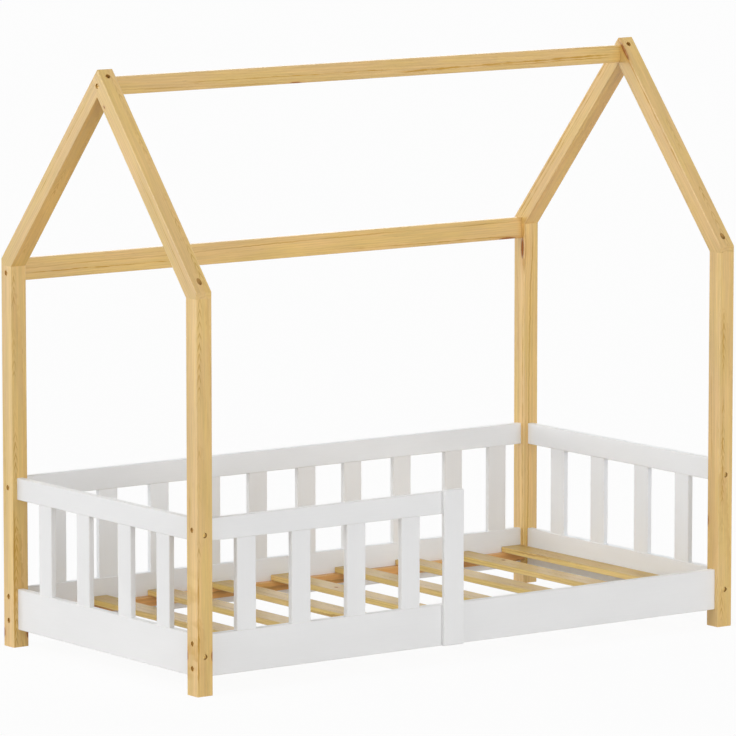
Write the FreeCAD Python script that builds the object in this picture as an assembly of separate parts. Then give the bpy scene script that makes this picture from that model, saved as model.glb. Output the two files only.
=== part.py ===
import FreeCAD, Part
import math
import os

os.makedirs("parts", exist_ok=True)

# House frame bed for a mattress of 800 x 1600 mm. Sizes are in millimetres.
# +X runs along the bed from the left gable to the right one, +Y from the open front to the back,
# +Z up. The origin is on the floor, in the middle of the bed.

# Frame of posts and rafters
frame_length = 1668.0
frame_width = 866.0
post_side = 45.0
post_height = 970.0
post_ease = 2.0
gable_clear_height = 1424.7
ridge_lead = 7.5
apex_shoulder = 16.0
roof_corner_round = 2.0

# Rails, ridge and eave beam
rail_thickness = 18.0
rail_ease = 2.5
lower_rail_chamfer = 1.5
upper_rail_height = 56.0
upper_rail_bottom = 377.0
lower_rail_height = 104.0
lower_rail_bottom = 45.0
ridge_height = 45.0
ridge_drop = 20.0
eave_height = 56.0
eave_rise = 17.0

# Pickets, between a named gap at each end of their row
picket_width = 57.0
picket_thickness = 15.0
picket_chamfer = 1.5
tenon_length = 8.0
tenon_shoulder = 4.0
tenon_clearance = 0.2
back_gap_left = 69.0
back_gap_right = 49.0
end_gap = 97.0
front_gap_left = 82.0
front_gap_right = 66.0

# Front guard and the board that ends it
guard_length = 762.0
guard_end_width = 61.0
guard_end_thickness = 12.0
guard_end_rise = 4.0
guard_end_corner = 6.0
guard_end_chamfer = 2.0
guard_rail_setback = 3.0

# Pickets and slats are set out by hand, so the gaps in a row differ a little from their mean
back_picket_gaps = (1.01, 1.02, 1.05, 0.92, 0.99, 0.92, 1.05, 1.14, 0.90)
end_picket_gaps = (0.95, 1.08, 0.97)
front_picket_gaps = (0.98, 1.01, 1.01)
slat_gaps = (0.95, 1.00, 1.06, 1.01, 1.13, 1.06, 0.93, 0.87)

# Slatted base
slat_width = 64.0
slat_thickness = 15.0
slat_chamfer = 1.5
slat_end_clearance = 1.0
slat_side_clearance = 0.5
ledger_depth = 20.0
ledger_height = 25.0
ledger_bottom = 64.0
ledger_chamfer = 1.0
ledger_end_clearance = 1.0

# Frame screws with a cylinder head, sunk below the face of the post or rafter
frame_screw_diameter = 7.0
frame_screw_head = 11.0
frame_screw_head_height = 6.0
frame_screw_length = 66.0
frame_screw_sink = 3.0
head_clearance = 0.75
screw_clearance = 0.25
long_rail_screw_rise = 2.0
end_rail_screw_drop = 10.0
lower_rail_screw_spacing = 61.0
lower_rail_screw_rise = 1.0
ridge_screw_rise = 1.0
eave_screw_drop = 7.0

# Screws that hold the rafters: down into the posts, and through the front rafter into the back one
foot_screw_length = 70.0
foot_screw_cover = 20.0
front_foot_inset = 20.0
back_foot_inset = 34.0
apex_screw_length = 60.0
apex_screw_setback = 23.0
apex_screw_sink = 6.0

# Planes that the pieces share
left = -frame_length / 2
right = frame_length / 2
front = -frame_width / 2
back = frame_width / 2
rail_setback = (post_side - rail_thickness) / 2
post_middle = post_side / 2
clear_length = frame_length - 2 * post_side
upper_rail_middle = upper_rail_bottom + upper_rail_height / 2
lower_rail_middle = lower_rail_bottom + lower_rail_height / 2
upper_rail_top = upper_rail_bottom + upper_rail_height
lower_rail_top = lower_rail_bottom + lower_rail_height
ridge_y = -ridge_lead
front_slope = (gable_clear_height - post_height) / (back - post_side - ridge_lead)
back_slope = (gable_clear_height - post_height) / (back - post_side + ridge_lead)
front_pitch = math.atan(front_slope)
back_pitch = math.atan(back_slope)
front_rise = post_side / math.cos(front_pitch)
back_rise = post_side / math.cos(back_pitch)
peak_shift = (back_rise - front_rise) / (front_slope + back_slope)
peak_y = ridge_y + peak_shift
apex = gable_clear_height + back_rise - peak_shift * back_slope
ridge_top = apex - ridge_drop
ridge_middle = ridge_top - ridge_height / 2
eave_top = post_height + eave_rise
eave_middle = eave_top - eave_height / 2
guard_right = left + post_side + guard_length
guard_left = guard_right - guard_end_width

front_rail_y = front + rail_setback
back_rail_y = back - rail_setback - rail_thickness
left_rail_x = left + rail_setback
right_rail_x = right - rail_setback - rail_thickness
slat_bottom = ledger_bottom + ledger_height
slat_top = slat_bottom + slat_thickness

X = FreeCAD.Vector(1, 0, 0)
Y = FreeCAD.Vector(0, 1, 0)
Z = FreeCAD.Vector(0, 0, 1)

parts = {}
bores = {}


def at(x, y, z):
    return FreeCAD.Vector(x, y, z)


def parallel_edges(shape, direction):
    chosen = []
    for edge in shape.Edges:
        ends = [vertex.Point for vertex in edge.Vertexes]
        if len(ends) == 2:
            run = ends[1] - ends[0]
            if run.cross(direction).Length < 1e-6 * run.Length:
                chosen.append(edge)
    return chosen


def eased_bar(low, high, along, ease):
    """A planed bar or board between two opposite corners. Its four long edges are rounded."""
    size = high - low
    bar = Part.makeBox(size.x, size.y, size.z, low)
    return bar.makeFillet(ease, parallel_edges(bar, along))


def chamfered_bar(low, high, along, chamfer):
    """A board whose four long edges only have the sharp arris taken off."""
    size = high - low
    bar = Part.makeBox(size.x, size.y, size.z, low)
    return bar.makeChamfer(chamfer, parallel_edges(bar, along))


def hexagon_bar(across_corners, length, start, direction):
    """A six-sided bar from its start point. It stands for the threaded part of a screw."""
    radius = across_corners / 2
    corners = []
    for side in range(7):
        turn = math.radians(60 * side)
        corners.append(at(radius * math.cos(turn), radius * math.sin(turn), 0))
    bar = Part.Face(Part.makePolygon(corners)).extrude(Z * length)
    bar.Placement = FreeCAD.Placement(start, FreeCAD.Rotation(Z, direction))
    return bar


def standing_box(foot, across, width, depth, height):
    """A box that stands centred on its foot point, with its width along the given axis."""
    size = at(width, depth, height)
    if across.y > 0:
        size = at(depth, width, height)
    return Part.makeBox(size.x, size.y, size.z, foot - at(size.x / 2, size.y / 2, 0))


def set_out(start, end, width, gaps):
    """The near edge of each piece in a row from start to end, with the gaps in the given ratio."""
    free = end - start - width * (len(gaps) + 1)
    edges = [start]
    for gap in gaps:
        edges.append(edges[-1] + width + free * gap / sum(gaps))
    return edges


def drill(nodes, tool):
    """Take the same hole out of every piece that it passes through."""
    for node in nodes:
        bores.setdefault(node, []).append(tool)


def add_solid(node, solid):
    """Like fasteners share one node, each as a solid of its own."""
    parts.setdefault(node, []).append(solid)


def frame_screw(group, nodes, head_top, inward, length):
    """A cylinder-head screw at the bottom of its recess."""
    head_seat = head_top + inward * frame_screw_head_height
    head = Part.makeCylinder(frame_screw_head / 2, frame_screw_head_height, head_top, inward)
    shank = hexagon_bar(frame_screw_diameter, length, head_seat, inward)
    add_solid(group, head.fuse(shank))
    outside = head_top - inward * (2 * post_side)
    depth = 2 * post_side + frame_screw_head_height
    recess = Part.makeCylinder(frame_screw_head / 2 + head_clearance, depth, outside, inward)
    bore = frame_screw_diameter + 2 * screw_clearance
    hole = hexagon_bar(bore, length + screw_clearance, head_seat, inward)
    drill(nodes, recess.fuse(hole))


# Posts, square planed bars with their long edges rounded
post_corners = {
    "post_front_left": (left, front),
    "post_front_right": (right - post_side, front),
    "post_back_left": (left, back - post_side),
    "post_back_right": (right - post_side, back - post_side),
}
for node, (x, y) in post_corners.items():
    far_corner = at(x + post_side, y + post_side, post_height)
    parts[node] = eased_bar(at(x, y, 0), far_corner, Z, post_ease)


# Rafters. Both have a level seat on the post and a plumb foot in line with its outer face. The
# front rafter runs on to the apex, and its nose laps over the end of the back rafter, which
# stands against it on a short plumb shoulder. The ridge lies a little ahead of the middle, so the
# front rafter is the steeper of the two.
front_foot_top = post_height + front_rise - post_side * front_slope
back_foot_top = post_height + back_rise - post_side * back_slope
lap = (back_rise - apex_shoulder) / (front_slope + back_slope)
shoulder_top = gable_clear_height + apex_shoulder
front_toe = at(0, front, post_height)
front_heel = at(0, front + post_side, post_height)
front_tip = at(0, front, front_foot_top)
back_toe = at(0, back, post_height)
back_heel = at(0, back - post_side, post_height)
back_tip = at(0, back, back_foot_top)
crotch = at(0, ridge_y, gable_clear_height)
shoulder = at(0, ridge_y, shoulder_top)
lap_end = at(0, ridge_y + lap, shoulder_top + lap * front_slope)
peak = at(0, peak_y, apex)
joint_faces = (
    (front_toe, front_heel),
    (back_toe, back_heel),
    (crotch, shoulder),
    (shoulder, lap_end),
)


def in_a_joint(edge):
    """True for the edges of the faces where a rafter meets a post or the other rafter."""
    found = []
    for vertex in edge.Vertexes:
        found.append(at(0, vertex.Point.y, vertex.Point.z))
    for start, end in joint_faces:
        if all(point.isEqual(start, 1e-4) or point.isEqual(end, 1e-4) for point in found):
            return True
    return False


def rafter(outline, free_corners, x):
    """A bar cut to its outline, with its free edges eased and its joint edges left sharp."""
    wire = Part.makePolygon(outline + outline[:1])
    bar = Part.Face(wire).extrude(X * post_side)
    corners = []
    for edge in parallel_edges(bar, X):
        foot = edge.Vertexes[0].Point
        if any(point.isEqual(at(0, foot.y, foot.z), 1e-4) for point in free_corners):
            corners.append(edge)
    bar = bar.makeFillet(roof_corner_round, corners)
    rims = []
    for face in bar.Faces:
        if face.normalAt(0, 0).cross(X).Length < 1e-6 and face.BoundBox.XLength < 1e-6:
            rims += [edge for edge in face.Edges if not in_a_joint(edge)]
    bar = bar.makeFillet(post_ease, rims)
    bar.translate(X * x)
    return bar


front_outline = [front_toe, front_heel, crotch, shoulder, lap_end, peak, front_tip]
back_outline = [back_toe, back_tip, lap_end, shoulder, crotch, back_heel]
for side, x in (("left", left), ("right", right - post_side)):
    parts["rafter_" + side + "_front"] = rafter(front_outline, [peak, front_tip], x)
    parts["rafter_" + side + "_back"] = rafter(back_outline, [back_tip], x)


# Ridge and eave beams, boards on edge between the two gables
def long_board(node, y, bottom, height, end):
    """A board along the bed, from the left post or rafter to the given end."""
    low = at(left + post_side, y, bottom)
    high = at(end, y + rail_thickness, bottom + height)
    if bottom == lower_rail_bottom:
        parts[node] = chamfered_bar(low, high, X, lower_rail_chamfer)
    else:
        parts[node] = eased_bar(low, high, X, rail_ease)


far_end = right - post_side
long_board("ridge_beam", ridge_y - rail_thickness / 2, ridge_top - ridge_height, ridge_height, far_end)
long_board("eave_beam", back_rail_y, eave_top - eave_height, eave_height, far_end)

# Long rails. The front guard rail covers only the left part of the front, up to the way in.
guard_rail_end = guard_right - guard_rail_setback
long_board("back_upper_rail", back_rail_y, upper_rail_bottom, upper_rail_height, far_end)
long_board("back_lower_rail", back_rail_y, lower_rail_bottom, lower_rail_height, far_end)
long_board("front_guard_rail", front_rail_y, upper_rail_bottom, upper_rail_height, guard_rail_end)
long_board("front_lower_rail", front_rail_y, lower_rail_bottom, lower_rail_height, far_end)

# End rails, between the front and the back post of each gable
for side, x in (("left", left_rail_x), ("right", right_rail_x)):
    start = at(x, front + post_side, upper_rail_bottom)
    end = at(x + rail_thickness, back - post_side, upper_rail_top)
    parts[side + "_upper_rail"] = eased_bar(start, end, Y, rail_ease)
    start.z = lower_rail_bottom
    end.z = lower_rail_top
    parts[side + "_lower_rail"] = chamfered_bar(start, end, Y, lower_rail_chamfer)


# Pickets, with a stub tenon at each end in a mortise of the rail
def picket(node, rails, foot, across):
    height = upper_rail_bottom - lower_rail_top
    body = standing_box(foot, across, picket_width, picket_thickness, height)
    body = body.makeChamfer(picket_chamfer, parallel_edges(body, Z))
    width = picket_width - 2 * tenon_shoulder
    depth = picket_thickness - 2 * tenon_shoulder
    start = foot - Z * tenon_length
    tenons = standing_box(start, across, width, depth, height + 2 * tenon_length)
    parts[node] = body.fuse(tenons)
    room = 2 * tenon_clearance
    start = start - Z * tenon_clearance
    reach = height + 2 * tenon_length + room
    drill(rails, standing_box(start, across, width + room, depth + room, reach))


row_start = left + post_side + back_gap_left
row_end = right - post_side - back_gap_right
back_middle = back_rail_y + rail_thickness / 2
for number, x in enumerate(set_out(row_start, row_end, picket_width, back_picket_gaps), 1):
    foot = at(x + picket_width / 2, back_middle, lower_rail_top)
    picket("back_picket_%d" % number, ("back_upper_rail", "back_lower_rail"), foot, X)

row_start = left + post_side + front_gap_left
row_end = guard_left - front_gap_right
front_middle = front_rail_y + rail_thickness / 2
for number, x in enumerate(set_out(row_start, row_end, picket_width, front_picket_gaps), 1):
    foot = at(x + picket_width / 2, front_middle, lower_rail_top)
    picket("front_picket_%d" % number, ("front_guard_rail", "front_lower_rail"), foot, X)

row_start = front + post_side + end_gap
row_end = back - post_side - end_gap
for side, rail_x in (("left", left_rail_x), ("right", right_rail_x)):
    rails = (side + "_upper_rail", side + "_lower_rail")
    for number, y in enumerate(set_out(row_start, row_end, picket_width, end_picket_gaps), 1):
        foot = at(rail_x + rail_thickness / 2, y + picket_width / 2, lower_rail_top)
        picket(side + "_picket_%d" % number, rails, foot, Y)


# Board that ends the front guard. It lies on the front of both rails, its top corners rounded.
low = at(guard_left, front_rail_y - guard_end_thickness, lower_rail_bottom)
high = at(guard_right, front_rail_y, upper_rail_top + guard_end_rise)
size = high - low
board = Part.makeBox(size.x, size.y, size.z, low)
top_corners = [edge for edge in parallel_edges(board, Y) if edge.BoundBox.ZMin > upper_rail_top]
board = board.makeFillet(guard_end_corner, top_corners)
rims = []
for face in board.Faces:
    if face.BoundBox.YLength < 1e-6:
        rims += face.Edges
parts["guard_end_post"] = board.makeChamfer(guard_end_chamfer, rims)


# Ledgers, on the inside of the two lower long rails
ledger_start = left + post_side + ledger_end_clearance
ledger_end = right - post_side - ledger_end_clearance
front_ledger_y = front_rail_y + rail_thickness
back_ledger_y = back_rail_y - ledger_depth
for side, y in (("front", front_ledger_y), ("back", back_ledger_y)):
    low = at(ledger_start, y, ledger_bottom)
    high = at(ledger_end, y + ledger_depth, ledger_bottom + ledger_height)
    parts[side + "_slat_ledger"] = chamfered_bar(low, high, X, ledger_chamfer)

# Slats, laid across on the ledgers
row_start = left + post_side + slat_side_clearance
row_end = right - post_side - slat_side_clearance
slat_start = front_ledger_y + slat_end_clearance
slat_end = back_ledger_y + ledger_depth - slat_end_clearance
for number, x in enumerate(set_out(row_start, row_end, slat_width, slat_gaps), 1):
    low = at(x, slat_start, slat_bottom)
    high = at(x + slat_width, slat_end, slat_top)
    parts["slat_%d" % number] = chamfered_bar(low, high, Y, slat_chamfer)


# Frame screws along X, through the posts into the ends of the long boards
def gable_screw(nodes, side, y, z):
    start = at(left + frame_screw_sink, y, z)
    inward = X
    if side == "right":
        start = at(right - frame_screw_sink, y, z)
        inward = -X
    frame_screw("frame_screws", nodes, start, inward, frame_screw_length)


long_screw_z = upper_rail_middle + long_rail_screw_rise
low_screw_z = lower_rail_middle + lower_rail_screw_rise
pair = lower_rail_screw_spacing / 2
for side in ("left", "right"):
    for depth, y in (("front", front_middle), ("back", back_middle)):
        post = "post_" + depth + "_" + side
        rail = depth + "_lower_rail"
        gable_screw((post, rail), side, y, low_screw_z - pair)
        gable_screw((post, rail), side, y, low_screw_z + pair)
    post = "post_back_" + side
    gable_screw((post, "back_upper_rail"), side, back_middle, long_screw_z)
    gable_screw((post, "eave_beam"), side, back_middle, eave_middle - eave_screw_drop)
    rafters = ("rafter_" + side + "_front", "rafter_" + side + "_back", "ridge_beam")
    gable_screw(rafters, side, ridge_y, ridge_middle + ridge_screw_rise)
gable_screw(("post_front_left", "front_guard_rail"), "left", front_middle, long_screw_z)


# Frame screws along Y, through the posts into the ends of the end rails
def end_rail_screw(post, rail, x, z):
    start = at(x, front + frame_screw_sink, z)
    inward = Y
    if "back" in post:
        start = at(x, back - frame_screw_sink, z)
        inward = -Y
    frame_screw("frame_screws", (post, rail), start, inward, frame_screw_length)


for side, x in (("left", left + post_middle), ("right", right - post_middle)):
    for depth in ("front", "back"):
        post = "post_" + depth + "_" + side
        end_rail_screw(post, side + "_upper_rail", x, upper_rail_middle - end_rail_screw_drop)
        end_rail_screw(post, side + "_lower_rail", x, lower_rail_middle)

# Screws of the gables. Each foot has one, straight down through the rafter into the post. At the
# apex, one goes square through the nose of the front rafter into the end of the back rafter.
foot_head_z = post_height + foot_screw_cover + frame_screw_head_height
down_slope = at(0, -math.cos(front_pitch), -math.sin(front_pitch))
into_rafter = at(0, math.sin(front_pitch), -math.cos(front_pitch))
for side, x in (("left", left + post_middle), ("right", right - post_middle)):
    for depth, y in (("front", front + front_foot_inset), ("back", back - back_foot_inset)):
        nodes = ("rafter_" + side + "_" + depth, "post_" + depth + "_" + side)
        start = at(x, y, foot_head_z)
        frame_screw("rafter_foot_screws", nodes, start, -Z, foot_screw_length)
    nodes = ("rafter_" + side + "_front", "rafter_" + side + "_back")
    start = peak + X * x + down_slope * apex_screw_setback + into_rafter * apex_screw_sink
    frame_screw("apex_screws", nodes, start, into_rafter, apex_screw_length)


# Drill the pieces and write one file for each
for node, piece in parts.items():
    if isinstance(piece, list):
        piece = Part.Compound(piece)
    if node in bores:
        piece = piece.cut(bores[node])
    solids = piece.Solids
    if len(solids) == 1:
        piece = solids[0]
    piece.exportStep("parts/" + node + ".step")
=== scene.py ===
import math
import random

import bmesh
import bpy
from mathutils import Euler, Matrix, Vector


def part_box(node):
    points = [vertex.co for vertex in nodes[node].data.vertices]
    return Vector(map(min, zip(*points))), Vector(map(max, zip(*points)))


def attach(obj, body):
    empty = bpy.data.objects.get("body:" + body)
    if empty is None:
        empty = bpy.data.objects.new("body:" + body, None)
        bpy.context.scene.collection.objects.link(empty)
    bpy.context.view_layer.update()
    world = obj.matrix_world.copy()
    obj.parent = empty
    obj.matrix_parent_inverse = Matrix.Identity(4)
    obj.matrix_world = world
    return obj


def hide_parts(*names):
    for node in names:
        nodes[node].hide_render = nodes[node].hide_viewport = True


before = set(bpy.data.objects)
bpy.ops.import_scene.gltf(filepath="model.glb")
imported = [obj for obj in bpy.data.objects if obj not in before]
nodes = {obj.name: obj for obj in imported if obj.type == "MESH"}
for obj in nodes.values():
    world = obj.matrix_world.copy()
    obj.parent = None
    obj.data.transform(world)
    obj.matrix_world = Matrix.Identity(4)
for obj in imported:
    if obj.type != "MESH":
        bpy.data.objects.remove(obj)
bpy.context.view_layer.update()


# ---------------------------------------------------------------------------------------------
# Camera. It stands a long way off to the front left, a little above the bed, with a long lens,
# so that far edges look hardly shorter than near ones.
# ---------------------------------------------------------------------------------------------
looks_down, looks_right = math.radians(7.8032), math.radians(36.0556)

camera = bpy.data.objects.new("camera", bpy.data.cameras.new("camera"))
bpy.context.scene.collection.objects.link(camera)
camera.location = (-9.02442, -12.38301, 2.78935)
camera.rotation_euler = (math.radians(90) - looks_down, 0, -looks_right)
camera.data.sensor_width = 36.0
camera.data.lens = 297.717
camera.data.clip_end = 100.0
bpy.context.scene.camera = camera
bpy.context.scene.view_settings.view_transform = "Standard"


# ---------------------------------------------------------------------------------------------
# Posts. Four square bars of planed pine, 45 mm thick, with rounded edges and a clear satin
# lacquer. Each is its own piece of timber, so the growth rings lie differently in every one.
# The screws of the long rails go in from the sides, those of the end rails from front and back.
# ---------------------------------------------------------------------------------------------
def put(tree, kind, inputs=None, **settings):
    """A node of a material. An input is a plain value, or the output of another node."""
    node = tree.nodes.new(kind)
    for name, value in settings.items():
        setattr(node, name, value)
    for key, value in (inputs or {}).items():
        if isinstance(value, bpy.types.NodeSocket):
            tree.links.new(value, node.inputs[key])
        else:
            node.inputs[key].default_value = value
    return node


def work_out(tree, operation, *values):
    inputs = dict(enumerate(values))
    return put(tree, "ShaderNodeMath", inputs, operation=operation).outputs[0]


def times(tree, first, second):
    return work_out(tree, "MULTIPLY", first, second)


def combine(tree, operation, *values):
    inputs = dict(enumerate(values))
    node = put(tree, "ShaderNodeVectorMath", inputs, operation=operation)
    return node.outputs["Value" if operation in ("DOT_PRODUCT", "LENGTH") else "Vector"]


def stretch(tree, vector, x, y, z):
    return combine(tree, "MULTIPLY", vector, (x, y, z))


def split(tree, vector):
    return tuple(put(tree, "ShaderNodeSeparateXYZ", {0: vector}).outputs)


def join(tree, x, y, z):
    return put(tree, "ShaderNodeCombineXYZ", {0: x, 1: y, 2: z}).outputs[0]


def noise(tree, vector, scale, detail=2.0, roughness=0.5, colour=False):
    inputs = {"Vector": vector, "Scale": scale, "Detail": detail, "Roughness": roughness}
    node = put(tree, "ShaderNodeTexNoise", inputs)
    return node.outputs["Color" if colour else "Fac"]


def fade(tree, value, low, high, start=0.0, end=1.0):
    """Goes smoothly from start to end while the value goes from low to high."""
    inputs = {"Value": value, "From Min": low, "From Max": high, "To Min": start, "To Max": end}
    node = put(tree, "ShaderNodeMapRange", inputs, interpolation_type="SMOOTHSTEP")
    return node.outputs["Result"]


def tint(tree, share, first, second):
    """The first colour where the share is 0, and the second where it is 1."""
    inputs = {0: share, 6: first, 7: second}
    return put(tree, "ShaderNodeMix", inputs, data_type="RGBA").outputs[2]


def facing(tree, direction):
    """1 where a face looks in a direction, 0 where it is square to it, and -1 on the far side."""
    normal = put(tree, "ShaderNodeNewGeometry").outputs["True Normal"]
    return combine(tree, "DOT_PRODUCT", normal, direction)


NUMBER = "NodeSocketFloat"
PLACE = "NodeSocketVector"
COLOUR = "NodeSocketColor"


def new_group(name, inputs, outputs):
    group = bpy.data.node_groups.new(name, "ShaderNodeTree")
    for label, kind, value in inputs:
        socket = group.interface.new_socket(label, in_out="INPUT", socket_type=kind)
        if value is not None:
            socket.default_value = value
    for label, kind in outputs:
        group.interface.new_socket(label, in_out="OUTPUT", socket_type=kind)
    given = group.nodes.new("NodeGroupInput").outputs
    result = group.nodes.new("NodeGroupOutput").inputs
    return group, given, result


def use_group(tree, group, **inputs):
    """Places a group. The inputs are its labels with an underscore for each space."""
    inputs = {label.replace("_", " "): value for label, value in inputs.items()}
    return put(tree, "ShaderNodeGroup", inputs, node_tree=group).outputs


def make_long_edges():
    """A mask that is 1 on the four long edges of a bar and 0 a little way in from them."""
    inputs = (
        ("Place", PLACE, None),
        ("Half Width", NUMBER, 0.022),
        ("Half Depth", NUMBER, 0.022),
        ("Reach", NUMBER, 0.004),
    )
    group, given, result = new_group("Long Edges", inputs, (("Mask", NUMBER),))
    x, y, _ = split(group, given["Place"])
    from_side = work_out(group, "SUBTRACT", given["Half Width"], work_out(group, "ABSOLUTE", x))
    from_face = work_out(group, "SUBTRACT", given["Half Depth"], work_out(group, "ABSOLUTE", y))
    away = work_out(group, "MAXIMUM", from_side, from_face)
    share = work_out(group, "DIVIDE", away, given["Reach"])
    group.links.new(fade(group, share, 0.0, 1.0, 1.0, 0.0), result["Mask"])
    return group


def make_pine_grain():
    """Growth rings round a pith, cut lengthwise, with fibres, resin streaks and darker ends."""
    inputs = (
        ("Place", PLACE, None),
        ("Pith X", NUMBER, 0.04),
        ("Pith Y", NUMBER, 0.03),
        ("Pith Lean", NUMBER, 0.0),
        ("Taper", NUMBER, 0.03),
        ("Ring Width", NUMBER, 0.0055),
        ("Seed", NUMBER, 0.0),
        ("Knot Push", NUMBER, 0.0),
        ("Bold", NUMBER, 0.2),
        ("Half Depth", NUMBER, 0.0225),
        ("Early Wood", COLOUR, (0.6, 0.4, 0.2, 1)),
        ("Late Wood", COLOUR, (0.4, 0.2, 0.08, 1)),
        ("Resin", COLOUR, (0.4, 0.2, 0.05, 1)),
        ("Length Axis", PLACE, None),
    )
    outputs = (("Color", COLOUR), ("Roughness", NUMBER), ("Height", NUMBER))
    group, given, result = new_group("Pine Grain", inputs, outputs)
    place = given["Place"]
    strewn = combine(group, "ADD", place, join(group, given["Seed"], 0.37, given["Seed"]))

    # The trunk is never quite straight, so the rings wander along the bar and ripple a little
    wander_by, ripple_by = 0.012, 0.0040
    wander = noise(group, stretch(group, strewn, 1.0, 1.0, 0.35), 5.0, 1.5, colour=True)
    wander = combine(group, "SUBTRACT", wander, (0.5, 0.5, 0.5))
    bent = combine(group, "ADD", place, stretch(group, wander, wander_by, wander_by, 0))
    x, y, z = split(group, bent)
    across = work_out(group, "SUBTRACT", x, given["Pith X"])
    deep = work_out(group, "SUBTRACT", y, given["Pith Y"])
    radius = combine(group, "LENGTH", join(group, across, deep, 0.0))
    radius = work_out(group, "MULTIPLY_ADD", z, given["Taper"], radius)
    ripple = noise(group, stretch(group, strewn, 0.6, 0.6, 1.0), 52.0, 2.0)
    ripple = work_out(group, "MULTIPLY_ADD", ripple, ripple_by, -ripple_by / 2)
    radius = work_out(group, "ADD", radius, ripple)
    radius = work_out(group, "ADD", radius, given["Knot Push"])

    # Each year ends in a dark line of late wood, and a few years were rich in resin
    first_year = 500.0
    ring = work_out(group, "ADD", work_out(group, "DIVIDE", radius, given["Ring Width"]), first_year)
    year = work_out(group, "FRACT", ring)
    fate = work_out(group, "ADD", work_out(group, "FLOOR", ring), given["Seed"])
    fate = put(group, "ShaderNodeTexWhiteNoise", {"W": fate}, noise_dimensions="1D").outputs
    chance = put(group, "ShaderNodeSeparateColor", {0: fate["Color"]}).outputs["Red"]
    summer_end = fade(group, year, 0.94, 1.0, 1.0, 0.0)
    late = times(group, fade(group, year, 0.30, 0.92), summer_end)
    late = times(group, late, fade(group, fate["Value"], 0.0, 1.0, 0.35, 1.0))
    rare = work_out(group, "MULTIPLY_ADD", given["Bold"], 0.6, chance)
    strong = times(group, fade(group, year, 0.20, 0.85), summer_end)
    strong = times(group, strong, fade(group, rare, 0.85, 1.05))
    come_and_go = noise(group, stretch(group, strewn, 1.0, 1.0, 0.16), 28.0, 1.0)
    strong = times(group, strong, fade(group, come_and_go, 0.38, 0.60))
    colour = tint(group, times(group, late, 0.50), given["Early Wood"], given["Late Wood"])
    colour = tint(group, times(group, strong, 0.85), colour, given["Resin"])

    # Fibres run the length of the bar, and rosy and yellow patches come and go
    rosy, yellowish = (1.010, 0.996, 1.05, 1), (0.990, 1.003, 0.90, 1)
    fibre = noise(group, stretch(group, strewn, 1.0, 1.0, 0.02), 1400.0, 2.0)
    streak = noise(group, stretch(group, strewn, 1.0, 1.0, 0.03), 240.0, 3.0, 0.6)
    patch = noise(group, stretch(group, strewn, 1.0, 1.0, 0.16), 30.0, 2.0)
    cloud = noise(group, stretch(group, strewn, 1.0, 1.0, 0.30), 11.0, 1.0)
    hue = tint(group, fade(group, patch, 0.36, 0.64), yellowish, rosy)
    colour = combine(group, "MULTIPLY", colour, hue)
    shade = fade(group, streak, 0.25, 0.75, 0.91, 1.07)
    shade = times(group, shade, fade(group, fibre, 0.2, 0.8, 0.95, 1.04))
    shade = times(group, shade, fade(group, cloud, 0.3, 0.7, 0.95, 1.04))

    # Where a ring lies flat in a face it shows as a chain of small nested arches
    arch_slope, arches_per_metre, arch_unevenness = 3.4, 38.0, 0.022
    crown = work_out(group, "MULTIPLY_ADD", given["Pith Lean"], z, given["Pith X"])
    beside = work_out(group, "ABSOLUTE", work_out(group, "SUBTRACT", x, crown))
    uneven = noise(group, stretch(group, strewn, 1.0, 1.0, 0.5), 95.0, 1.0)
    arch = work_out(group, "MULTIPLY_ADD", beside, arch_slope, z)
    arch = work_out(group, "MULTIPLY_ADD", uneven, arch_unevenness, arch)
    arch = work_out(group, "MULTIPLY_ADD", arch, arches_per_metre, 300.0)
    arch = work_out(group, "FRACT", arch)
    arch = times(group, fade(group, arch, 0.45, 0.88), fade(group, arch, 0.90, 1.0, 1.0, 0.0))
    arch = times(group, arch, fade(group, beside, 0.0030, 0.0075, 1.0, 0.0))
    in_bar = work_out(group, "ABSOLUTE", split(group, place)[1])
    under_face = work_out(group, "SUBTRACT", given["Half Depth"], in_bar)
    arch = times(group, arch, fade(group, under_face, 0.0, 0.0015, 1.0, 0.0))
    here = noise(group, stretch(group, strewn, 0.2, 0.2, 1.0), 9.0, 2.0)
    arch = times(group, arch, fade(group, here, 0.44, 0.60))
    colour = tint(group, times(group, arch, 0.90), colour, given["Resin"])

    # Resin ducts show as short brown dashes, most of them in the late wood
    duct_brown = (0.38, 0.19, 0.03, 1)
    dash = noise(group, stretch(group, strewn, 1.0, 1.0, 0.045), 620.0, 1.0)
    dash = times(group, fade(group, dash, 0.66, 0.74), fade(group, late, 0.1, 0.6, 0.25, 1.0))
    colour = tint(group, times(group, dash, 0.45), colour, duct_brown)
    colour = combine(group, "MULTIPLY", colour, join(group, shade, shade, shade))

    # A sawn end drinks more lacquer than a planed side, and goes darker
    end_tone = (0.80, 0.72, 0.60)
    cut_end = work_out(group, "ABSOLUTE", facing(group, given["Length Axis"]))
    cut_end = fade(group, cut_end, 0.70, 0.95)
    colour = tint(group, cut_end, colour, combine(group, "MULTIPLY", colour, end_tone))
    group.links.new(colour, result["Color"])

    rough = fade(group, fibre, 0.2, 0.8, 0.34, 0.46)
    rough = work_out(group, "MULTIPLY_ADD", late, -0.05, rough)
    rough = work_out(group, "MULTIPLY_ADD", cut_end, 0.22, rough)
    group.links.new(rough, result["Roughness"])
    height = work_out(group, "MULTIPLY_ADD", late, 0.5, times(group, fibre, 0.5))
    height = work_out(group, "MULTIPLY_ADD", dash, -0.6, height)
    height = work_out(group, "MULTIPLY_ADD", cut_end, times(group, fibre, 1.2), height)
    group.links.new(height, result["Height"])
    return group


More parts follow.
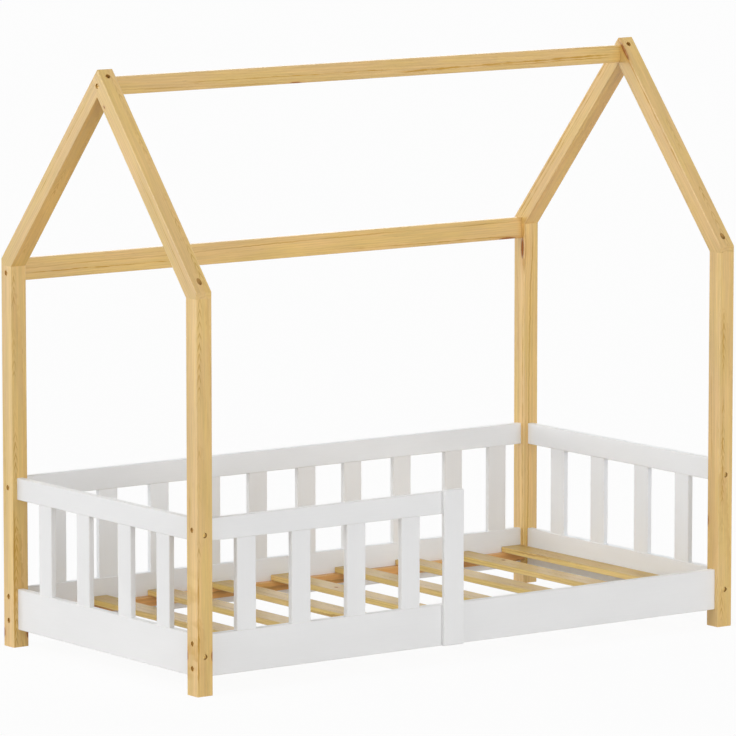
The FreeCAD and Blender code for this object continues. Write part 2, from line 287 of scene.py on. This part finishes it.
def make_knot():
    """A branch that was grown over. It pushes the rings aside and leaves a dark oval."""
    inputs = (
        ("Place", PLACE, None),
        ("Centre", PLACE, None),
        ("Branch", PLACE, (1, 0, 0)),
        ("Radius", NUMBER, 0.006),
        ("Length", NUMBER, 2.0),
    )
    outputs = (("Push", NUMBER), ("Heart", NUMBER), ("Rim", NUMBER), ("Halo", NUMBER))
    group, given, result = new_group("Knot", inputs, outputs)
    away = combine(group, "SUBTRACT", given["Place"], given["Centre"])
    along = combine(group, "DOT_PRODUCT", away, given["Branch"])
    inputs = {0: given["Branch"], "Scale": along}
    along = put(group, "ShaderNodeVectorMath", inputs, operation="SCALE").outputs["Vector"]
    x, y, z = split(group, combine(group, "SUBTRACT", away, along))
    z = work_out(group, "DIVIDE", z, given["Length"])
    size = combine(group, "LENGTH", join(group, x, y, z))
    size = work_out(group, "DIVIDE", size, given["Radius"])
    rough_edge = work_out(group, "MULTIPLY_ADD", noise(group, given["Place"], 260.0), 0.5, -0.25)
    size = work_out(group, "ADD", size, rough_edge)
    push = times(group, fade(group, size, 0.0, 5.0, 1.6, 0.0), given["Radius"])
    rim = times(group, fade(group, size, 0.55, 0.95), fade(group, size, 1.0, 1.35, 1.0, 0.0))
    group.links.new(push, result["Push"])
    group.links.new(fade(group, size, 0.75, 1.0, 1.0, 0.0), result["Heart"])
    group.links.new(rim, result["Rim"])
    group.links.new(fade(group, size, 0.9, 3.2, 1.0, 0.0), result["Halo"])
    return group


def make_drilled_hole():
    """The wall and the rim of a round recess."""
    inputs = (
        ("Place", PLACE, None),
        ("Centre", PLACE, None),
        ("Axis", PLACE, (1, 0, 0)),
        ("Radius", NUMBER, 0.00625),
    )
    group, given, result = new_group("Drilled Hole", inputs, (("Mask", NUMBER),))
    away = combine(group, "SUBTRACT", given["Place"], given["Centre"])
    off_axis = combine(group, "LENGTH", combine(group, "CROSS_PRODUCT", away, given["Axis"]))
    share = work_out(group, "DIVIDE", off_axis, given["Radius"])
    group.links.new(fade(group, share, 1.0, 1.10, 1.0, 0.0), result["Mask"])
    return group


def make_amber_line():
    """A resin-filled ring that runs along a face as one amber line, now wide, now thin."""
    inputs = (
        ("Place", PLACE, None),
        ("Across", PLACE, (0, 1, 0)),
        ("Offset", NUMBER, 0.0),
        ("Lean", NUMBER, 0.0),
        ("Width", NUMBER, 0.003),
        ("From", NUMBER, -1.0),
        ("To", NUMBER, 1.0),
    )
    group, given, result = new_group("Amber Line", inputs, (("Mask", NUMBER),))
    sway_by, run_out = 0.006, 0.08
    drawn_out = stretch(group, given["Place"], 0.3, 0.3, 1.0)
    along = split(group, given["Place"])[2]
    course = combine(group, "DOT_PRODUCT", given["Place"], given["Across"])
    course = work_out(group, "SUBTRACT", course, given["Offset"])
    course = work_out(group, "SUBTRACT", course, times(group, given["Lean"], along))
    sway = noise(group, drawn_out, 14.0, 3.0)
    sway = work_out(group, "MULTIPLY_ADD", sway, sway_by, -sway_by / 2)
    course = work_out(group, "ABSOLUTE", work_out(group, "ADD", course, sway))
    swell = fade(group, noise(group, drawn_out, 23.0), 0.35, 0.65, 0.45, 1.1)
    width = times(group, given["Width"], swell)
    mask = fade(group, work_out(group, "DIVIDE", course, width), 0.25, 1.0, 1.0, 0.0)
    begin = fade(group, work_out(group, "SUBTRACT", along, given["From"]), 0.0, run_out)
    end = fade(group, work_out(group, "SUBTRACT", given["To"], along), 0.0, run_out)
    mask = times(group, mask, times(group, begin, end))
    depth = noise(group, stretch(group, given["Place"], 1.0, 1.0, 0.4), 60.0)
    mask = times(group, mask, fade(group, depth, 0.3, 0.6, 0.55, 1.0))
    group.links.new(mask, result["Mask"])
    return group


long_edges = make_long_edges()
pine_grain = make_pine_grain()
knot_shape = make_knot()
drilled_hole = make_drilled_hole()
amber_line = make_amber_line()


def blank_material(name):
    material = bpy.data.materials.new(name)
    material.use_nodes = True
    tree = material.node_tree
    tree.nodes.clear()
    shader = tree.nodes.new("ShaderNodeBsdfPrincipled")
    output = tree.nodes.new("ShaderNodeOutputMaterial")
    tree.links.new(shader.outputs[0], output.inputs["Surface"])
    return material, tree, shader


def bar_place(tree, centre, turn):
    """Places along one bar: X and Y across it, Z along it, from its middle."""
    where = put(tree, "ShaderNodeTexCoord").outputs["Object"]
    inputs = {"Vector": where, "Location": centre, "Rotation": turn}
    return put(tree, "ShaderNodeMapping", inputs, vector_type="TEXTURE").outputs[0]


def set_bump(tree, shader, strength, distance, height):
    inputs = {"Strength": strength, "Distance": distance, "Height": height}
    bump = put(tree, "ShaderNodeBump", inputs)
    tree.links.new(bump.outputs[0], shader.inputs["Normal"])


# Ways that a bar lies: upright, along the bed, or across it
UPRIGHT = (0.0, 0.0, 0.0)
LENGTHWAYS = (0.0, math.radians(90), 0.0)
CROSSWAYS = (math.radians(-90), 0.0, 0.0)

lacquer_roughness, marks_roughness = 0.24, 0.45
grain_depth = 0.0006
amber = (0.500, 0.255, 0.020, 1)
knot_halo = (0.62, 0.29, 0.045, 1)
knot_heart = (0.33, 0.090, 0.002, 1)
knot_rim = (0.24, 0.070, 0.006, 1)
edge_wear_and_highlight = (0.80, 0.61, 0.35, 1)
hole_wall_shade = (0.30, 0.14, 0.025, 1)
side_hole_shade, front_hole_shade = 0.12, 0.60


def pine(name, finish, centre, turn, half_width, half_depth, seed, pith, taper,
         pith_lean=0.0, knots=(), lines=(), bores=(), tone=1.0, bold=0.15):
    """Planed pine for one bar. A knot is (place on the bar, branch direction, radius, length),
    a line is (direction across, offset, lean, width, from, to), a bore is (place, axis)."""
    material, tree, shader = blank_material(name)
    place = bar_place(tree, centre, turn)
    bar_turn = Euler(turn).to_matrix()
    ring_width = 0.0050 + 0.0020 * (seed * 0.37 % 1.0)
    push = 0.0
    grown_in = []
    for where, branch, radius, length in knots:
        knot = use_group(tree, knot_shape, Place=place, Centre=where, Radius=radius,
                         Branch=Vector(branch).normalized(), Length=length)
        grown_in.append(knot)
        push = work_out(tree, "ADD", push, knot["Push"])
    grain = use_group(
        tree, pine_grain, Place=place, Pith_X=pith[0], Pith_Y=pith[1], Pith_Lean=pith_lean,
        Taper=taper, Ring_Width=ring_width, Seed=seed * 7.31,
        Knot_Push=push, Bold=bold, Half_Depth=half_depth, Early_Wood=finish["early"],
        Late_Wood=finish["late"], Resin=finish["resin"], Length_Axis=bar_turn @ Vector((0, 0, 1)))
    colour = grain["Color"]
    if tone != 1.0:
        colour = combine(tree, "MULTIPLY", colour, (tone, tone, tone))

    # Painted light by face: a painted highlight in a paler strip near the front corner of faces that
    # look left, painted shade in a deeper colour on faces that look down, and painted light that
    # makes the faces looking along X paler
    # Painted highlight: faces that look left are paler in a strip near the front corner
    if "left_corner_highlight" in finish:
        strip = fade(tree, split(tree, place)[1], -0.012, 0.006, 1.0, 0.0)
        strip = times(tree, fade(tree, facing(tree, (-1, 0, 0)), 0.5, 0.9), strip)
        colour = tint(tree, strip, colour, combine(tree, "MULTIPLY", colour, finish["left_corner_highlight"]))
    # Painted shade: faces that look down take a deeper, more saturated colour
    if "painted_underside_shade" in finish:
        below = fade(tree, facing(tree, (0, 0, -1)), 0.3, 0.6)
        colour = tint(tree, below, colour, combine(tree, "MULTIPLY", colour, finish["painted_underside_shade"]))
    # Painted light: the faces that look along X are made paler and cooler
    if "painted_side_light" in finish:
        lit_sides = work_out(tree, "ABSOLUTE", facing(tree, (1, 0, 0)))
        lit_sides = fade(tree, lit_sides, 0.6, 0.95)
        colour = tint(tree, lit_sides, colour, combine(tree, "MULTIPLY", colour, finish["painted_side_light"]))

    # Resin, knots and bores take no shine from the lacquer
    dull = 0.0
    for across, offset, lean, width, first, last in lines:
        mask = use_group(tree, amber_line, Place=place, Across=across, Offset=offset, Lean=lean,
                         Width=width, From=first, To=last)["Mask"]
        mask = times(tree, mask, 0.85)
        colour = tint(tree, mask, colour, amber)
        dull = work_out(tree, "MAXIMUM", dull, mask)
    for knot in grown_in:
        dull = work_out(tree, "MAXIMUM", dull, knot["Heart"])
        colour = tint(tree, times(tree, knot["Halo"], 0.45), colour, knot_halo)
        colour = tint(tree, times(tree, knot["Heart"], 0.95), colour, knot_heart)
        colour = tint(tree, times(tree, knot["Rim"], 0.70), colour, knot_rim)
    # Paler long edges: partly wear, and partly a painted highlight on the rounded corners
    edge = use_group(tree, long_edges, Place=place, Half_Width=half_width, Half_Depth=half_depth)
    wear_and_highlight = fade(tree, noise(tree, place, 45.0, 3.0), 0.35, 0.7, 0.10, 0.34)
    colour = tint(tree, times(tree, edge["Mask"], wear_and_highlight), colour, edge_wear_and_highlight)
    # Painted shade: the walls of the screw recesses are darkened, partly as darker drilled wood and
    # partly as the shade inside them, only a little where the recess looks along X
    for where, axis in bores:
        into_bar = bar_turn.inverted()
        hole = use_group(tree, drilled_hole, Place=place, Axis=into_bar @ Vector(axis),
                         Centre=into_bar @ (Vector(where) - Vector(centre)))["Mask"]
        shade = side_hole_shade if abs(axis[0]) > 0.5 else front_hole_shade
        colour = tint(tree, times(tree, hole, shade), colour, hole_wall_shade)
        dull = work_out(tree, "MAXIMUM", dull, hole)
    tree.links.new(colour, shader.inputs["Base Color"])

    rough = grain["Roughness"]
    shader.inputs["Coat Weight"].default_value = finish["coat"]
    shader.inputs["Coat Roughness"].default_value = lacquer_roughness
    if knots or lines or bores:
        rough = work_out(tree, "ADD", rough, fade(tree, dull, 0.0, 1.0, 0.0, marks_roughness))
        if finish["coat"] > 0.0:
            clear = fade(tree, dull, 0.0, 1.0, finish["coat"], 0.0)
            tree.links.new(clear, shader.inputs["Coat Weight"])
    tree.links.new(rough, shader.inputs["Roughness"])
    set_bump(tree, shader, finish["bump"], grain_depth, grain["Height"])
    return material


def dress(node, material):
    """Gives a piece its finish."""
    mesh = nodes[node].data
    mesh.materials.clear()
    mesh.materials.append(material)


def middle(node):
    low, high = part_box(node)
    return (low + high) / 2, (high - low) / 2


lower_rail_pair = (0.0675, 0.1285)
upper_rail_screw = 0.407
eave_screw = 0.952
end_rail_screws = (0.097, 0.395)
side_screws = {
    "post_front_left": lower_rail_pair + (upper_rail_screw,),
    "post_front_right": lower_rail_pair,
    "post_back_left": lower_rail_pair + (upper_rail_screw, eave_screw),
    "post_back_right": lower_rail_pair + (upper_rail_screw, eave_screw),
}

lacquered_pine = {
    "early": (0.722, 0.484, 0.172, 1),
    "late": (0.620, 0.360, 0.092, 1),
    "resin": (0.510, 0.275, 0.030, 1),
    "coat": 0.55,
    "bump": 0.30,
    "painted_underside_shade": (1.02, 0.92, 0.60),
}
post_pine = dict(lacquered_pine, left_corner_highlight=(1.11, 1.13, 1.22))

# Where the pith of the tree lay beside each bar, and the knots and amber lines on its faces
post_timber = {
    "post_front_left": {
        "seed": 1.7, "pith": (-0.0170, 0.075), "pith_lean": 0.0107, "taper": 0.016, "bold": 0.0,
        "knots": [((0.0225, -0.0225, -0.388), (1, -1, 0), 0.0032, 3.5)],
        "lines": [((0, 1, 0), 0.0095, 0.0, 0.0018, -0.12, 0.06),
                  ((1, 0, 0), -0.0195, 0.0, 0.0042, -0.50, -0.14)],
    },
    "post_front_right": {
        "seed": 2.9, "pith": (-0.0095, 0.080), "taper": 0.018, "bold": 0.0,
        "knots": [((-0.0225, 0.0215, -0.212), (1, 0.6, 0), 0.0030, 4.5)],
        "lines": [((0, 1, 0), 0.0080, 0.01, 0.0016, -0.10, 0.20),
                  ((1, 0, 0), -0.0110, 0.0, 0.0022, -0.20, 0.35)],
    },
    "post_back_left": {
        "seed": 4.3, "pith": (-0.0135, 0.078), "taper": 0.014, "bold": 0.0, "tone": 1.01,
        "knots": [((-0.0225, 0.0225, -0.450), (1, -1, 0), 0.0042, 3.0)],
        "lines": [((0, 1, 0), 0.0120, 0.0, 0.0016, -0.20, 0.15),
                  ((1, 0, 0), -0.0185, 0.0, 0.0038, -0.50, -0.10)],
    },
    "post_back_right": {
        "seed": 5.1, "pith": (0.090, 0.060), "taper": 0.012, "bold": 0.15, "tone": 1.10,
        "knots": [((-0.0225, -0.0130, 0.420), (1, 0.2, 0), 0.0055, 4.5)],
        "lines": [((0, 1, 0), -0.0160, 0.0, 0.0022, -0.45, 0.42)],
    },
}
for node, timber in post_timber.items():
    centre, half = middle(node)
    bores = [((centre.x, centre.y, height), (1, 0, 0)) for height in side_screws[node]]
    bores += [((centre.x, centre.y, height), (0, 1, 0)) for height in end_rail_screws]
    dress(node, pine(node, post_pine, centre, UPRIGHT, half.x, half.y, bores=bores, **timber))


# ---------------------------------------------------------------------------------------------
# Rafters. Two to a gable, of the same pine bars as the posts, cut to 50 degrees in front and
# 49 behind. The front one runs through to the peak and its nose laps a shoulder in the back one.
# One screw goes down through each foot, and one through the nose of each front rafter.
# ---------------------------------------------------------------------------------------------
rafter_pitch = {"front": math.radians(50.08), "back": math.radians(48.98)}
rafter_half = 0.0225
foot_screw = {"front": (-0.413, 0.996), "back": (0.399, 0.996)}
apex_screw = (-0.018321, 1.47254)
apex_direction = (0, math.sin(rafter_pitch["front"]), -math.cos(rafter_pitch["front"]))
ridge_screw = (-0.0075, 1.45253)
rafter_timber = {
    "rafter_left_front": {
        "seed": 6.6, "pith": (0.010, 0.095), "taper": 0.008,
        "knots": [((-0.0225, 0.012, 0.262), (1, 0.2, 0), 0.0018, 2.2)],
        "lines": [((0, 1, 0), -0.004, 0.004, 0.0016, -0.30, 0.10)],
    },
    "rafter_left_back": {
        "seed": 7.4, "pith": (-0.006, -0.100), "taper": 0.008, "tone": 0.98,
        "knots": [((-0.004, -0.0225, 0.318), (0, 1, 0), 0.0030, 2.0)],
        "lines": [((0, 1, 0), 0.006, -0.006, 0.0016, -0.10, 0.32)],
    },
    "rafter_right_front": {
        "seed": 8.2, "pith": (0.004, 0.105), "taper": 0.010,
        "knots": [((-0.0215, -0.0205, 0.308), (1, 1, 0), 0.0032, 8.0)],
        "lines": [((0, 1, 0), -0.0165, -0.004, 0.0030, -0.10, 0.40)],
    },
    "rafter_right_back": {
        "seed": 9.5, "pith": (0.008, -0.110), "taper": 0.009, "tone": 1.07,
        "lines": [((0, 1, 0), 0.0150, 0.004, 0.0026, -0.40, 0.40),
                  ((0, 1, 0), 0.004, 0.006, 0.0016, -0.4, 0.4)],
    },
}
for node, timber in rafter_timber.items():
    low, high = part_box(node)
    depth = node.split("_")[-1]
    pitch = rafter_pitch[depth]
    way = -1 if depth == "front" else 1

    # The bar's middle line, at a place about half way up the slope
    half_way = 0.2165
    heel = (high.y if depth == "back" else -low.y) - 2 * rafter_half
    up = low.z + (heel - half_way) * math.tan(pitch) + rafter_half / math.cos(pitch)
    centre = Vector(((low.x + high.x) / 2, way * half_way, up))
    turn = (way * (math.radians(90) - pitch), 0.0, 0.0)
    bores = [((centre.x, *foot_screw[depth]), (0, 0, 1))]
    if depth == "front":
        bores.append(((centre.x, *apex_screw), apex_direction))
    bores.append(((centre.x, *ridge_screw), (1, 0, 0)))
    dress(node, pine(node, lacquered_pine, centre, turn, rafter_half, rafter_half,
                     bores=bores, bold=0.0, **timber))


# ---------------------------------------------------------------------------------------------
# Ridge and eave beams. Two long boards of the same pine, 18 mm thick, set on edge between the
# gables, with screws through the rafters and the posts into their ends. Only the back eave has
# one, so that the front stays open.
# ---------------------------------------------------------------------------------------------
beam_timber = {
    "ridge_beam": {
        "seed": 10.8, "pith": (0.105, -0.020), "taper": 0.018, "bold": 0.1,
        "knots": [((0.0215, -0.009, -0.245), (0, 1, 0), 0.0026, 6.0)],
        "lines": [((1, 0, 0), 0.0122, -0.0157, 0.0042, 0.05, 0.80),
                  ((1, 0, 0), 0.0150, -0.0105, 0.0020, 0.35, 0.80),
                  ((1, 0, 0), 0.0030, 0.0, 0.0016, -0.60, 0.10)],
    },
    "eave_beam": {
        "seed": 11.9, "pith": (-0.100, -0.030), "taper": 0.010, "bold": 0.15, "tone": 1.05,
        "knots": [((0.0262, -0.009, 0.742), (0, 1, 0), 0.0034, 7.0)],
        "lines": [((1, 0, 0), 0.0100, 0.0, 0.0022, -0.80, -0.30),
                  ((1, 0, 0), 0.0180, 0.004, 0.0022, 0.20, 0.80)],
    },
}
for node, timber in beam_timber.items():
    centre, half = middle(node)
    dress(node, pine(node, lacquered_pine, centre, LENGTHWAYS, half.z, half.y, **timber))


# ---------------------------------------------------------------------------------------------
# Rails. Boards of pine, 18 mm thick, with white satin paint, screwed through the posts. The
# upper ones are the hand rail of the guard, and the deep lower ones carry the bed base.
# ---------------------------------------------------------------------------------------------
white = (0.83, 0.83, 0.83, 1)

# The boards at the back and on the right stand in dimmer light that the pine has warmed. A
# brighter and cooler white makes up for a part of it.
cooler_white = {"back": (0.855, 0.870, 0.890, 1), "right": (0.900, 0.920, 0.945, 1)}
paint_depth = 0.0004
bare_edge = (0.70, 0.62, 0.48, 1)
dust_grey = (0.50, 0.49, 0.46, 1)


def make_white_paint():
    """White paint on planed pine: flow marks, faint grain under it, thinner on the edges."""
    inputs = (
        ("Place", PLACE, None),
        ("Edge", NUMBER, 0.0),
        ("Seed", NUMBER, 0.0),
        ("Paint", COLOUR, white),
    )
    outputs = (("Color", COLOUR), ("Roughness", NUMBER), ("Height", NUMBER))
    group, given, result = new_group("White Paint", inputs, outputs)
    strewn = join(group, given["Seed"], given["Seed"], 0.0)
    strewn = combine(group, "ADD", given["Place"], strewn)
    cloud = noise(group, stretch(group, strewn, 1.0, 1.0, 0.4), 9.0, 2.0)
    grain = noise(group, stretch(group, strewn, 1.0, 1.0, 0.03), 420.0, 3.0, 0.6)
    orange_peel = noise(group, strewn, 900.0, 1.0)
    dust = noise(group, strewn, 2600.0, 0.0)
    shade = fade(group, cloud, 0.3, 0.7, 0.985, 1.012)
    shade = times(group, shade, fade(group, grain, 0.3, 0.7, 0.993, 1.005))
    colour = combine(group, "MULTIPLY", given["Paint"], join(group, shade, shade, shade))
    thin = fade(group, noise(group, strewn, 120.0, 3.0), 0.42, 0.75, 0.03, 0.30)
    colour = tint(group, times(group, given["Edge"], thin), colour, bare_edge)
    colour = tint(group, fade(group, dust, 0.80, 0.86, 0.0, 0.25), colour, dust_grey)
    group.links.new(colour, result["Color"])
    group.links.new(fade(group, cloud, 0.2, 0.8, 0.40, 0.50), result["Roughness"])
    height = work_out(group, "MULTIPLY_ADD", grain, 0.7, times(group, orange_peel, 0.35))
    group.links.new(height, result["Height"])
    return group


white_paint = make_white_paint()


def paint_board(node, turn, seed, paint=white):
    """Gives a board a coat of its own, whichever way it lies."""
    centre, half = middle(node)
    across = {UPRIGHT: (half.x, half.y), LENGTHWAYS: (half.z, half.y), CROSSWAYS: (half.x, half.z)}
    half_width, half_depth = across[turn]
    material, tree, shader = blank_material(node)
    place = bar_place(tree, centre, turn)
    edge = use_group(tree, long_edges, Place=place, Half_Width=half_width,
                     Half_Depth=half_depth, Reach=0.003)
    coat = use_group(tree, white_paint, Place=place, Edge=edge["Mask"], Seed=seed * 3.7, Paint=paint)
    tree.links.new(coat["Color"], shader.inputs["Base Color"])
    tree.links.new(coat["Roughness"], shader.inputs["Roughness"])
    set_bump(tree, shader, 0.14, paint_depth, coat["Height"])
    dress(node, material)


rails = {
    "back_upper_rail": LENGTHWAYS,
    "back_lower_rail": LENGTHWAYS,
    "front_guard_rail": LENGTHWAYS,
    "front_lower_rail": LENGTHWAYS,
    "left_upper_rail": CROSSWAYS,
    "left_lower_rail": CROSSWAYS,
    "right_upper_rail": CROSSWAYS,
    "right_lower_rail": CROSSWAYS,
}
for seed, (node, turn) in enumerate(rails.items(), 1):
    paint_board(node, turn, seed, cooler_white.get(node.split("_")[0], white))


# ---------------------------------------------------------------------------------------------
# Pickets. Flat bars of 57 x 15 mm, painted like the rails, standing between the upper and the
# lower ones. The board that ends the front guard laps over both rails from the front.
# ---------------------------------------------------------------------------------------------
pickets = sorted(node for node in nodes if "_picket_" in node)
# The pickets on the right and the first three at the back take the brighter, cooler white too, as
# painted light for the dimmer place they stand in
in_the_corner = ("back_picket_1", "back_picket_2", "back_picket_3")
for seed, node in enumerate(pickets + ["guard_end_post"], 20):
    cooler = node.startswith("right") or node in in_the_corner
    paint_board(node, UPRIGHT, seed, cooler_white["right"] if cooler else white)


# ---------------------------------------------------------------------------------------------
# Bed base. Two ledgers on the inside of the lower rails carry nine loose-laid slats. They are
# plain pine with no lacquer, a little greyer and rougher than the frame.
# ---------------------------------------------------------------------------------------------
bare_pine = {
    "early": (0.640, 0.434, 0.140, 1),
    "late": (0.510, 0.310, 0.072, 1),
    "resin": (0.420, 0.220, 0.050, 1),
    "coat": 0.0,
    "bump": 0.6,
    "painted_side_light": (1.36, 1.48, 1.72),
}
ledger_pine = dict(bare_pine, early=(0.76, 0.40, 0.125, 1), late=(0.58, 0.25, 0.055, 1))
# Painted shade: slats 6 and 7 are a little darker, against the light that the white rails throw on
# the middle of the bed
slat_painted_shade = {6: 0.91, 7: 0.93}
knotty_slats = (2, 5, 8)
slat_seed = 20

draw = random.Random(9)
for number in range(1, 10):
    node = "slat_%d" % number
    centre, half = middle(node)
    pith = (draw.uniform(-0.02, 0.02), draw.choice((-1, 1)) * draw.uniform(0.02, 0.05))
    knots = []
    if number in knotty_slats:
        where = (draw.uniform(-0.02, 0.02), 0.0, draw.uniform(-0.3, 0.3))
        knots.append((where, (0, 1, 0), 0.004, 1.6))
    dress(node, pine(node, bare_pine, centre, CROSSWAYS, half.x, half.z, slat_seed + number, pith,
                     draw.uniform(0.01, 0.03), knots=knots, tone=slat_painted_shade.get(number, 1.0)))

for seed, node in ((31, "front_slat_ledger"), (32, "back_slat_ledger")):
    centre, half = middle(node)
    dress(node, pine(node, ledger_pine, centre, LENGTHWAYS, half.z, half.y, seed,
                     pith=(0.03, 0.04), taper=0.01))


# ---------------------------------------------------------------------------------------------
# Screws. Zinc-plated steel with a yellow cast and a cylinder head with a hexagon socket, sunk
# in round recesses in the posts and rafters. Only their heads show.
# ---------------------------------------------------------------------------------------------
head_radius, head_height, head_rounding = 0.0055, 0.006, 0.0007
socket_reach, socket_depth, socket_rim = 0.0023, 0.002, 0.0016
shank_radius = 0.0033
frame_screw_length, foot_screw_length, apex_screw_length = 0.066, 0.070, 0.060
plating_dark, plating_light = (0.60, 0.41, 0.14, 1), (0.74, 0.54, 0.23, 1)

plated_steel, tree, shader = blank_material("plated_steel")
where = put(tree, "ShaderNodeTexCoord").outputs["Object"]
cloud = noise(tree, where, 300.0, 3.0)
scratch = noise(tree, where, 2500.0, 2.0)
colour = tint(tree, fade(tree, cloud, 0.3, 0.7), plating_dark, plating_light)
tree.links.new(colour, shader.inputs["Base Color"])
tree.links.new(fade(tree, scratch, 0.3, 0.7, 0.28, 0.5), shader.inputs["Roughness"])
set_bump(tree, shader, 0.2, 0.0001, scratch)
shader.inputs["Metallic"].default_value = 1.0


def make_screw(length):
    """One screw on its own, its head upward and the top of the head at the origin."""
    mesh = bmesh.new()
    middle_of_head = Matrix.Translation((0, 0, -head_height / 2))
    bmesh.ops.create_cone(mesh, cap_ends=True, segments=36, radius1=head_radius,
                          radius2=head_radius, depth=head_height, matrix=middle_of_head)
    top = max(mesh.faces, key=lambda face: face.calc_center_median().z)
    bmesh.ops.bevel(mesh, geom=list(top.edges), affect="EDGES", offset=head_rounding, segments=3,
                    profile=0.5, material=-1)
    top = max(mesh.faces, key=lambda face: face.calc_center_median().z)
    bmesh.ops.inset_individual(mesh, faces=[top], thickness=socket_rim)

    # The round inner edge is drawn in to six straight sides, and the socket is sunk from there
    half_side = math.radians(30)
    for vertex in top.verts:
        corner = math.atan2(vertex.co.y, vertex.co.x) % (2 * half_side) - half_side
        reach = socket_reach * math.cos(half_side) / math.cos(corner)
        vertex.co.xy = vertex.co.xy.normalized() * reach
    bottom = bmesh.ops.extrude_discrete_faces(mesh, faces=[top])["faces"][0]
    bmesh.ops.translate(mesh, vec=(0, 0, -socket_depth), verts=bottom.verts)
    bmesh.ops.poke(mesh, faces=[bottom])

    middle_of_shank = Matrix.Translation((0, 0, -head_height - length / 2))
    bmesh.ops.create_cone(mesh, cap_ends=True, segments=24, radius1=shank_radius,
                          radius2=shank_radius, depth=length, matrix=middle_of_shank)
    data = bpy.data.meshes.new("screw")
    mesh.to_mesh(data)
    mesh.free()
    return data


def place_screws(node, length, places):
    """Puts a screw at each place, given as the top of its head and the way that it points."""
    one = make_screw(length)
    mesh = bmesh.new()
    for place, inward in places:
        made = len(mesh.verts)
        mesh.from_mesh(one)
        mesh.verts.ensure_lookup_table()
        aim = Vector(inward).to_track_quat("-Z", "X").to_matrix().to_4x4()
        bmesh.ops.transform(mesh, matrix=Matrix.Translation(place) @ aim, verts=mesh.verts[made:])
    data = bpy.data.meshes.new(node + "_detailed")
    mesh.to_mesh(data)
    mesh.free()
    for face in data.polygons:
        face.use_smooth = True
    data.set_sharp_from_angle(angle=math.radians(35))
    data.materials.append(plated_steel)
    piece = bpy.data.objects.new(node + "_detailed", data)
    bpy.context.scene.collection.objects.link(piece)
    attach(piece, "root")
    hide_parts(node)


side_heads, front_heads = 0.831, 0.430
post_middle, long_rail_middle = 0.8115, 0.4105
into_posts = []
into_feet = []
into_noses = []
for end, side in (("left", -1), ("right", 1)):
    into_end = (-side, 0, 0)
    for depth, way in (("front", -1), ("back", 1)):
        for height in side_screws["post_%s_%s" % (depth, end)]:
            into_posts.append(((side * side_heads, way * long_rail_middle, height), into_end))
        for height in end_rail_screws:
            into_posts.append(((side * post_middle, way * front_heads, height), (0, -way, 0)))
        into_feet.append(((side * post_middle, *foot_screw[depth]), (0, 0, -1)))
    into_posts.append(((side * side_heads, *ridge_screw), into_end))
    into_noses.append(((side * post_middle, *apex_screw), apex_direction))
place_screws("frame_screws", frame_screw_length, into_posts)
place_screws("rafter_foot_screws", foot_screw_length, into_feet)
place_screws("apex_screws", apex_screw_length, into_noses)


# ---------------------------------------------------------------------------------------------
# Studio. A pale floor that keeps the bed's shadow, an even white surround, and soft lamps from
# the left, the front and behind. None of it belongs to the bed.
# ---------------------------------------------------------------------------------------------
floor_size, floor_drop = 30.0, 0.0005
floor_white = (0.92, 0.92, 0.92, 1)
plain_white = (1, 1, 1, 1)

# The camera sees this share of the floor as plain white, and the rest keeps the shadow
floor_glow = 0.94

# The bed gets this much light from the surround, which the camera sees as plain white
surround_light = 0.12


def seen_directly(tree):
    """1 for the camera and for what shows in metal, and 0 for the light on the bed."""
    path = put(tree, "ShaderNodeLightPath").outputs
    seen = work_out(tree, "MAXIMUM", path["Is Camera Ray"], path["Is Glossy Ray"])
    return work_out(tree, "MAXIMUM", seen, path["Is Transmission Ray"])


floor_mesh = bmesh.new()
bmesh.ops.create_grid(floor_mesh, x_segments=1, y_segments=1, size=floor_size,
                      matrix=Matrix.Translation((0, 0, -floor_drop)))
floor_data = bpy.data.meshes.new("floor")
floor_mesh.to_mesh(floor_data)
floor_mesh.free()
floor = bpy.data.objects.new("floor", floor_data)
bpy.context.scene.collection.objects.link(floor)

floor_paint, tree, shader = blank_material("floor_paint")
shader.inputs["Base Color"].default_value = floor_white
shader.inputs["Roughness"].default_value = 0.9
glow = put(tree, "ShaderNodeEmission", {"Color": plain_white, "Strength": 1.0})
share = times(tree, seen_directly(tree), floor_glow)
mixed = put(tree, "ShaderNodeMixShader", {0: share, 1: shader.outputs[0], 2: glow.outputs[0]})
output = next(node for node in tree.nodes if node.type == "OUTPUT_MATERIAL")
tree.links.new(mixed.outputs[0], output.inputs["Surface"])
floor_data.materials.append(floor_paint)

surround = bpy.data.worlds.new("surround")
surround.use_nodes = True
bpy.context.scene.world = surround
tree = surround.node_tree
tree.nodes.clear()
seen = seen_directly(tree)
strength = work_out(tree, "MULTIPLY_ADD", seen, 1.0 - surround_light, surround_light)
sky = put(tree, "ShaderNodeBackground", {"Color": plain_white, "Strength": strength})
put(tree, "ShaderNodeOutputWorld", {"Surface": sky.outputs[0]})

# Each lamp: where its light comes from, how strong it is, and how wide it looks in degrees
soft_lamps = {
    "left_lamp": ((-0.75, 0.0, 0.60), 1.42, 50),
    "front_lamp": ((0.0, -1.0, 0.17), 1.98, 50),
    "side_lamp": ((-0.62, 0.78, 0.0), 1.50, 50),
    "back_lamp": ((0.70, 0.60, 0.40), 0.50, 50),
}
for name, (comes_from, energy, spread) in soft_lamps.items():
    lamp = bpy.data.objects.new(name, bpy.data.lights.new(name, "SUN"))
    bpy.context.scene.collection.objects.link(lamp)
    lamp.data.energy = energy
    lamp.data.angle = math.radians(spread)
    lamp.rotation_euler = Vector(comes_from).to_track_quat("Z", "Y").to_euler()
